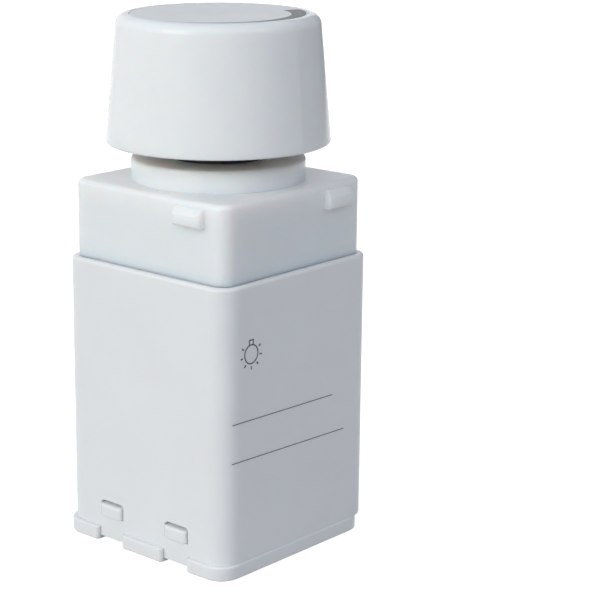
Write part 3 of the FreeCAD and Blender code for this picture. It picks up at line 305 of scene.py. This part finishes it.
def ink(name, dark, thin_tone):
    """Printing ink, thinner in spots so that the white shows through a little."""
    material, tree = new_tree(name)
    thin = noise(tree, object_points(tree), scale=2600.0, roughness=0.7)
    tone = two_tones(tree, thin, dark, thin_tone, from_low=0.45, from_high=0.8)
    gloss = spread(tree, thin, low=0.35, high=0.5)
    principled(tree, tone, gloss, bump(tree, thin, 0.004 * MM))
    return material


def light_within(weight, radius, scale):
    """How far light travels in the plastic: radius is per colour, times the scale in metres."""
    return {"Subsurface Weight": weight, "Subsurface Radius": radius, "Subsurface Scale": scale}


# White plastic lets light in, which softens its corners and warms its shadows.
GLOW = light_within(0.22, (1.0, 0.62, 0.42), 1.1 * MM)
COLLAR_GLOW = light_within(1.0, (1.0, 0.7, 0.55), 3.2 * MM)
KNOB_GLOW = light_within(0.8, (1.0, 0.7, 0.55), 3.0 * MM)
KNOB_GLOSS = {"Specular IOR Level": 0.22}
# Painted warm shade: the collar's top, in the shade under the knob, is painted a warmer white.
COLLAR_PAINTED_WARMTH = ((0.995, 0.935, 0.885), 42.2 * MM, 43.0 * MM)

MOULDED = {
    "housing_plastic": dict(colour=(0.785, 0.802, 0.83), roughness=0.36, **GLOW),
    "collar_plastic": dict(colour=(0.87, 0.872, 0.888), roughness=0.36, rim=COLLAR_PAINTED_WARMTH, **COLLAR_GLOW),
    "knob_plastic": dict(
        colour=(0.875, 0.876, 0.888), roughness=0.17,
        mottle=0.006, grain=0.0008 * MM, wave=0.012 * MM, **KNOB_GLOSS, **KNOB_GLOW,
    ),
    "inlay_plastic": dict(
        colour=(0.645, 0.675, 0.715), roughness=0.34,
        mottle=0.006, grain=0.0002 * MM, wave=0.008 * MM, **KNOB_GLOSS, **GLOW,
    ),
    "shaft_plastic": dict(colour=(0.022, 0.022, 0.024), roughness=0.38, mottle=0.2, grain=0.006 * MM),
    "white_plastic": dict(colour=(0.78, 0.78, 0.75), roughness=0.42),
    "inner_moulding": dict(colour=(0.62, 0.64, 0.63), roughness=0.45, mottle=0.03),
    "dark_moulding": dict(colour=(0.028, 0.028, 0.031), roughness=0.45, mottle=0.15, grain=0.01 * MM),
    "trimmer_blue": dict(colour=(0.02, 0.09, 0.36), roughness=0.35, mottle=0.05),
    "film_box": dict(colour=(0.62, 0.43, 0.05), roughness=0.36, mottle=0.04, grain=0.006 * MM),
    "grey_pad": dict(colour=(0.33, 0.34, 0.36), roughness=0.7, mottle=0.05, grain=0.014 * MM),
}
SPECKLED = {
    "carbon_film": dict(colour=(0.02, 0.02, 0.021), fleck=(0.06, 0.06, 0.062), roughness=0.5),
    "ceramic": dict(colour=(0.5, 0.38, 0.24), fleck=(0.36, 0.25, 0.15), roughness=0.5),
    "ferrite": dict(colour=(0.05, 0.05, 0.055), fleck=(0.13, 0.13, 0.14), roughness=0.55),
    "varistor_coat": dict(
        colour=(0.03, 0.11, 0.34), fleck=(0.05, 0.17, 0.46), roughness=0.28,
        scale=900.0, start=0.5, depth=0.03 * MM,
    ),
}
BRUSHED = {
    "spreader_metal": dict(colour=(0.80, 0.81, 0.82), roughness=0.32, stretch=(14.0, 1.0, 1.0)),
    "zinc_plate": dict(colour=(0.66, 0.68, 0.71), roughness=0.26, stretch=(1.0, 6.0, 6.0)),
    "spring_steel": dict(colour=(0.56, 0.57, 0.59), roughness=0.22, stretch=(1.0, 1.0, 8.0)),
    "tinned_metal": dict(colour=(0.72, 0.72, 0.71), roughness=0.3, stretch=(1.0, 1.0, 8.0)),
    "contact_brass": dict(colour=(0.80, 0.60, 0.27), roughness=0.26, stretch=(10.0, 1.0, 1.0)),
}
MATERIALS = {
    **{name: moulded(name, **values) for name, values in MOULDED.items()},
    **{name: speckled(name, **values) for name, values in SPECKLED.items()},
    **{name: brushed(name, **values) for name, values in BRUSHED.items()},
    "circuit_board": circuit_board("circuit_board", (0.018, 0.115, 0.045), (0.035, 0.19, 0.075)),
    "copper": enamelled_wire("copper", (0.52, 0.19, 0.07), (0.72, 0.31, 0.13)),
    "fuse_glass": drawn_glass("fuse_glass", (0.93, 0.97, 0.95), (0.98, 1.0, 0.99)),
}

# CAD nodes that look a little different from the rest of their material slot.
OWN_MATERIALS = {"knob_inlay": "inlay_plastic", "front_housing": "collar_plastic"}


def dress_cad_nodes():
    """Every CAD node takes the material of its slot in the record, or one of its own."""
    slots = {row["node"]: row["material_slot"] for row in frame["record"]["subparts"]}
    for name, node in frame["nodes"].items():
        kind = OWN_MATERIALS.get(name, slots[name])
        for place in node.material_slots:
            place.link = "OBJECT"
            place.material = MATERIALS[kind]


# Helpers that build meshes.

def add_mesh(name, bm, material):
    """An object from a finished bmesh."""
    mesh = bpy.data.meshes.new(name)
    bm.to_mesh(mesh)
    bm.free()
    made = add_object(name, mesh)
    made.data.materials.append(material)
    return made


def join_rings(bm, here, there):
    """A band of four-sided faces between two rings with as many points each."""
    for k in range(len(here)):
        after = (k + 1) % len(here)
        bm.faces.new((here[k], here[after], there[after], there[k]))


def smooth_sides(bm):
    """Smooth shading on all faces but end caps, which have more than four corners."""
    for face in bm.faces:
        face.smooth = len(face.verts) <= 4


# The disc in the knob's top, with a very shallow dish inside the level mark. Plain millimetres,
# from the knob's axis and from the ground.
INLAY_TOP = 58.95
INLAY_LOW = 57.8
INLAY_RADIUS = 9.69
INLAY_EDGE = 0.06
INLAY_SIDES = 128
DISH_RADIUS = 7.4
DISH_DEPTH = 0.2
DISH_STEPS = 14
SHARP_EDGE = radians(40.0)


def inlay_profile():
    """Radius and height, from the dish out to the rim and down."""
    points = []
    for k in range(1, DISH_STEPS + 1):
        share = k / DISH_STEPS
        points.append((DISH_RADIUS * share, INLAY_TOP - DISH_DEPTH * (0.5 + 0.5 * cos(pi * share))))
    points.append((INLAY_RADIUS - INLAY_EDGE, INLAY_TOP))
    points.append((INLAY_RADIUS, INLAY_TOP - INLAY_EDGE))
    points.append((INLAY_RADIUS, INLAY_LOW))
    return points


def make_inlay():
    """The disc, turned about the knob's axis."""
    bm = bmesh.new()
    rings = []
    for radius, height in inlay_profile():
        ring = []
        for k in range(INLAY_SIDES):
            angle = 2.0 * pi * k / INLAY_SIDES
            ring.append(bm.verts.new((radius * cos(angle) * MM, radius * sin(angle) * MM, height * MM)))
        rings.append(ring)
    middle = bm.verts.new((0.0, 0.0, (INLAY_TOP - DISH_DEPTH) * MM))
    for k in range(INLAY_SIDES):
        bm.faces.new((middle, rings[0][k], rings[0][(k + 1) % INLAY_SIDES]))
    for inner, outer in zip(rings, rings[1:]):
        join_rings(bm, inner, outer)
    bm.faces.new(rings[-1][::-1])
    bmesh.ops.recalc_face_normals(bm, faces=bm.faces)
    smooth_sides(bm)
    for edge in bm.edges:
        edge.smooth = len(edge.link_faces) == 2 and edge.calc_face_angle() < SHARP_EDGE
    disc = add_mesh("knob_disc", bm, MATERIALS["inlay_plastic"])
    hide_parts("knob_inlay")
    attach(disc, "knob")


# The spring under the switch's plunger. The real one shortens by the push's stroke; this one keeps its
# length.
SPRING_RADIUS = 1.7 * MM
SPRING_WIRE = 0.175 * MM
SPRING_TURNS = 3.5
SPRING_STEPS = 126
SPRING_SIDES = 10


def make_spring():
    """An open coil of round wire between the switch's floor and its plunger."""
    low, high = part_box("return_spring")
    start = low[2] + SPRING_WIRE
    rise = high[2] - low[2] - 2.0 * SPRING_WIRE
    bm = bmesh.new()
    rings = []
    for k in range(SPRING_STEPS + 1):
        share = k / SPRING_STEPS
        turn = 2.0 * pi * SPRING_TURNS * share
        ring = []
        for side in range(SPRING_SIDES):
            angle = 2.0 * pi * side / SPRING_SIDES
            radius = SPRING_RADIUS + SPRING_WIRE * cos(angle)
            height = start + rise * share + SPRING_WIRE * sin(angle)
            ring.append(bm.verts.new((radius * cos(turn), radius * sin(turn), height)))
        rings.append(ring)
    for here, there in zip(rings, rings[1:]):
        join_rings(bm, here, there)
    bm.faces.new(rings[0][::-1])
    bm.faces.new(rings[-1])
    bmesh.ops.recalc_face_normals(bm, faces=bm.faces)
    smooth_sides(bm)
    spring = add_mesh("pressed_spring", bm, MATERIALS["spring_steel"])
    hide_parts("return_spring")
    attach(spring, "root")
    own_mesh(spring)


# Printed marks. They lie on the sleeve's +X wall or on the knob's disc, as thick as the ink.
# Their places and sizes are plain millimetres: Y and Z on the wall, X and Y on the disc.
INK_THICK = 0.02 * MM
WALL_X = 12.2

LAMP_CENTRE = (-8.04, 24.78)
LAMP_RADIUS = 1.03
LAMP_LINE = 0.14
LAMP_SIDES = 48
LAMP_NECK = 0.3
LAMP_CAP = 0.52
RAY_START, RAY_END, RAY_LINE = 1.34, 1.68, 0.17
RAY_COUNT = 7
RAY_APART = 40.0
RAY_DOWN = -90.0

# The print is a little out of square with the wall, so the rules fall towards the right.
RULES = (((-10.95, 17.54), (5.45, 17.16)), ((-11.05, 13.23), (7.5, 12.71)))
RULE_LINE = 0.09

# The level mark on the knob's top: an arc that swells from a hair line to its blunt end.
LEVEL_RADIUS = 9.5
LEVEL_START, LEVEL_END = radians(-87.0), radians(63.0)
LEVEL_THIN, LEVEL_WIDE = 0.06, 1.9
LEVEL_STEPS = 90


def wall_point(y, z, out):
    """A point out from the sleeve's +X wall by that many metres."""
    return Vector((WALL_X * MM + out, y * MM, z * MM))


def top_point(x, y, out):
    """A point above the knob's disc by that many metres."""
    return Vector((x * MM, y * MM, INLAY_TOP * MM + out))


def polar(centre, radius, angle):
    return (centre[0] + radius * cos(angle), centre[1] + radius * sin(angle))


def round_stroke(centre, radius, line):
    """The inner and outer points of a closed ring."""
    half = line / 2.0
    pairs = []
    for k in range(LAMP_SIDES):
        angle = 2.0 * pi * k / LAMP_SIDES
        pairs.append((polar(centre, radius - half, angle), polar(centre, radius + half, angle)))
    return pairs, True


def straight_stroke(start, end, line):
    """The two sides of a straight stroke at each of its ends."""
    along = Vector((end[0] - start[0], end[1] - start[1])).normalized()
    across = Vector((-along[1], along[0])) * line / 2.0
    sides = []
    for point in (start, end):
        left = (point[0] - across[0], point[1] - across[1])
        right = (point[0] + across[0], point[1] + across[1])
        sides.append((left, right))
    return sides, False


def level_stroke():
    """The inner and outer points of the swelling arc."""
    pairs = []
    for k in range(LEVEL_STEPS + 1):
        share = k / LEVEL_STEPS
        angle = LEVEL_START + (LEVEL_END - LEVEL_START) * share
        inner = LEVEL_RADIUS - LEVEL_THIN - (LEVEL_WIDE - LEVEL_THIN) * share
        pairs.append((polar((0.0, 0.0), inner, angle), polar((0.0, 0.0), LEVEL_RADIUS, angle)))
    return pairs, False


def lamp_strokes():
    """A bulb with its cap up and short rays round its lower part."""
    y, z = LAMP_CENTRE
    cap = z + LAMP_RADIUS + LAMP_CAP
    cap_half = LAMP_NECK + LAMP_LINE / 2.0
    strokes = [round_stroke(LAMP_CENTRE, LAMP_RADIUS, LAMP_LINE)]
    for neck in (-LAMP_NECK, LAMP_NECK):
        strokes.append(straight_stroke((y + neck, z + LAMP_RADIUS), (y + neck, cap), LAMP_LINE))
    strokes.append(straight_stroke((y - cap_half, cap), (y + cap_half, cap), LAMP_LINE))
    for k in range(RAY_COUNT):
        angle = radians(RAY_DOWN + (k - RAY_COUNT // 2) * RAY_APART)
        ray = polar(LAMP_CENTRE, RAY_START, angle), polar(LAMP_CENTRE, RAY_END, angle)
        strokes.append(straight_stroke(*ray, RAY_LINE))
    return strokes


def ink_section(bm, place, inner, outer):
    """The four corners of the ink across a stroke."""
    corners = ((inner, 0.0), (inner, INK_THICK), (outer, INK_THICK), (outer, 0.0))
    return [bm.verts.new(place(*point, out)) for point, out in corners]


def add_print(name, strokes, place, material, body):
    """Raised flat strokes on a face. Each is a run of point pairs, and whether it is closed."""
    bm = bmesh.new()
    for pairs, closed in strokes:
        rings = [ink_section(bm, place, inner, outer) for inner, outer in pairs]
        for here, there in zip(rings, rings[1:]):
            join_rings(bm, here, there)
        if closed:
            join_rings(bm, rings[-1], rings[0])
        else:
            bm.faces.new(rings[0][::-1])
            bm.faces.new(rings[-1])
    bmesh.ops.recalc_face_normals(bm, faces=bm.faces)
    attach(add_mesh(name, bm, material), body)


def make_marks():
    """The level mark on the knob, and the generic lamp sign and the two thin rules on the wall."""
    grey = ink("grey_ink", (0.075, 0.083, 0.09), (0.11, 0.119, 0.127))
    black = ink("black_ink", (0.035, 0.033, 0.034), (0.2, 0.19, 0.19))
    rules = [straight_stroke(*ends, RULE_LINE) for ends in RULES]
    add_print("level_mark", [level_stroke()], top_point, grey, "knob")
    add_print("lamp_mark", lamp_strokes(), wall_point, black, "root")
    add_print("rule_marks", rules, wall_point, black, "root")


# The stage and the light. Lamps and card stand round the middle of what is lit. Lengths are metres.
LIT_MIDDLE = Vector((0.0, 0.0, 40.0 * MM))
AMBIENT = (0.42, 0.446, 0.497)
WHITE = (1.0, 1.0, 1.0)
FLOOR_HALF = 3.0
FLOOR_GLOW = 0.9
FLOOR_TONE = 0.43
# The floor lies just below the ground, where it can't share a plane with the base.
FLOOR_DROP = 0.02 * MM
KEY = dict(azimuth=-8.0, elevation=23.0, distance=1.1, size=0.62, power=6.8, colour=(1.0, 0.985, 0.9))
# Two small lamps for the highlights on the knob's top edge.
GLINTS = (
    dict(azimuth=46.0, elevation=37.0, distance=0.9, size=0.1, power=0.5, colour=WHITE),
    dict(azimuth=98.0, elevation=36.0, distance=0.9, size=0.13, power=0.76, colour=WHITE),
)
# A grey card behind the object keeps the knob's right-hand side from going white.
CARD = dict(azimuth=175.0, elevation=12.0, distance=0.36, wide=0.53, high=0.42, grey=0.38)
SQUARE = ((-1, -1), (1, -1), (1, 1), (-1, 1))


def seen_directly(tree):
    """1 for camera, glossy and transmission rays, and 0 for diffuse ones."""
    path = add_node(tree, "ShaderNodeLightPath")
    value = path.outputs["Is Camera Ray"]
    for name in ("Is Glossy Ray", "Is Transmission Ray"):
        either = add_node(tree, "ShaderNodeMath", {0: value, 1: path.outputs[name]}, operation="MAXIMUM")
        value = either.outputs[0]
    return value


def mix_shaders(tree, share, first, second):
    """first where share is 0, and second where it is 1."""
    return add_node(tree, "ShaderNodeMixShader", {0: share, 1: first.outputs[0], 2: second.outputs[0]})


def make_world():
    """A soft even light. Seen by the camera or in a reflection, it is white."""
    world = bpy.data.worlds.new("studio")
    bpy.context.scene.world = world
    world.use_nodes = True
    tree = world.node_tree
    tree.nodes.clear()
    soft = add_node(tree, "ShaderNodeBackground", {"Color": opaque(AMBIENT)})
    white = add_node(tree, "ShaderNodeBackground", {"Color": opaque(WHITE)})
    mix = mix_shaders(tree, seen_directly(tree), soft, white)
    add_node(tree, "ShaderNodeOutputWorld", {"Surface": mix.outputs[0]})


def add_sheet(name, corners, material):
    """One flat face of the stage."""
    bm = bmesh.new()
    bm.faces.new([bm.verts.new(corner) for corner in corners])
    sheet = add_mesh(name, bm, material)
    return sheet


def make_floor():
    """A plain pale floor. What the camera sees of it is brightened to white, and it keeps the shadow."""
    material, tree = new_tree("floor")
    tone = (FLOOR_TONE, FLOOR_TONE, FLOOR_TONE)
    pale = add_node(tree, "ShaderNodeBsdfDiffuse", {"Color": opaque(tone)})
    glow = add_node(tree, "ShaderNodeEmission", {"Strength": FLOOR_GLOW})
    both = add_node(tree, "ShaderNodeAddShader", {0: pale.outputs[0], 1: glow.outputs[0]})
    mix = mix_shaders(tree, seen_directly(tree), pale, both)
    add_node(tree, "ShaderNodeOutputMaterial", {"Surface": mix.outputs[0]})
    corners = [(x * FLOOR_HALF, y * FLOOR_HALF, -FLOOR_DROP) for x, y in SQUARE]
    add_sheet("floor", corners, material)


def make_card(azimuth, elevation, distance, wide, high, grey):
    """A card that the camera doesn't see, square to the direction it stands in."""
    material, tree = new_tree("grey_card")
    paper = add_node(tree, "ShaderNodeBsdfDiffuse", {"Color": opaque((grey, grey, grey))})
    add_node(tree, "ShaderNodeOutputMaterial", {"Surface": paper.outputs[0]})
    back = compass(azimuth, elevation)
    turn = back.to_track_quat("Z", "Y")
    middle = LIT_MIDDLE + back * distance
    corners = [middle + turn @ Vector((x * wide / 2.0, y * high / 2.0, 0.0)) for x, y in SQUARE]
    card = add_sheet("grey_card", corners, material)
    card.visible_camera = False


def add_lamp(name, azimuth, elevation, distance, size, power, colour):
    lamp = add_object(name, bpy.data.lights.new(name, "AREA"))
    lamp.data.shape = "SQUARE"
    lamp.data.size = size
    lamp.data.energy = power
    lamp.data.color = colour
    back = compass(azimuth, elevation)
    lamp.location = LIT_MIDDLE + back * distance
    look_inwards(lamp, back)


make_camera()
make_world()
make_floor()
make_card(**CARD)
add_lamp("key_light", **KEY)
for number, glint in enumerate(GLINTS, start=1):
    add_lamp(f"fill_light_{number}", **glint)
dress_cad_nodes()
make_inlay()
make_spring()
make_marks()
bpy.context.scene.view_settings.view_transform = "Standard"
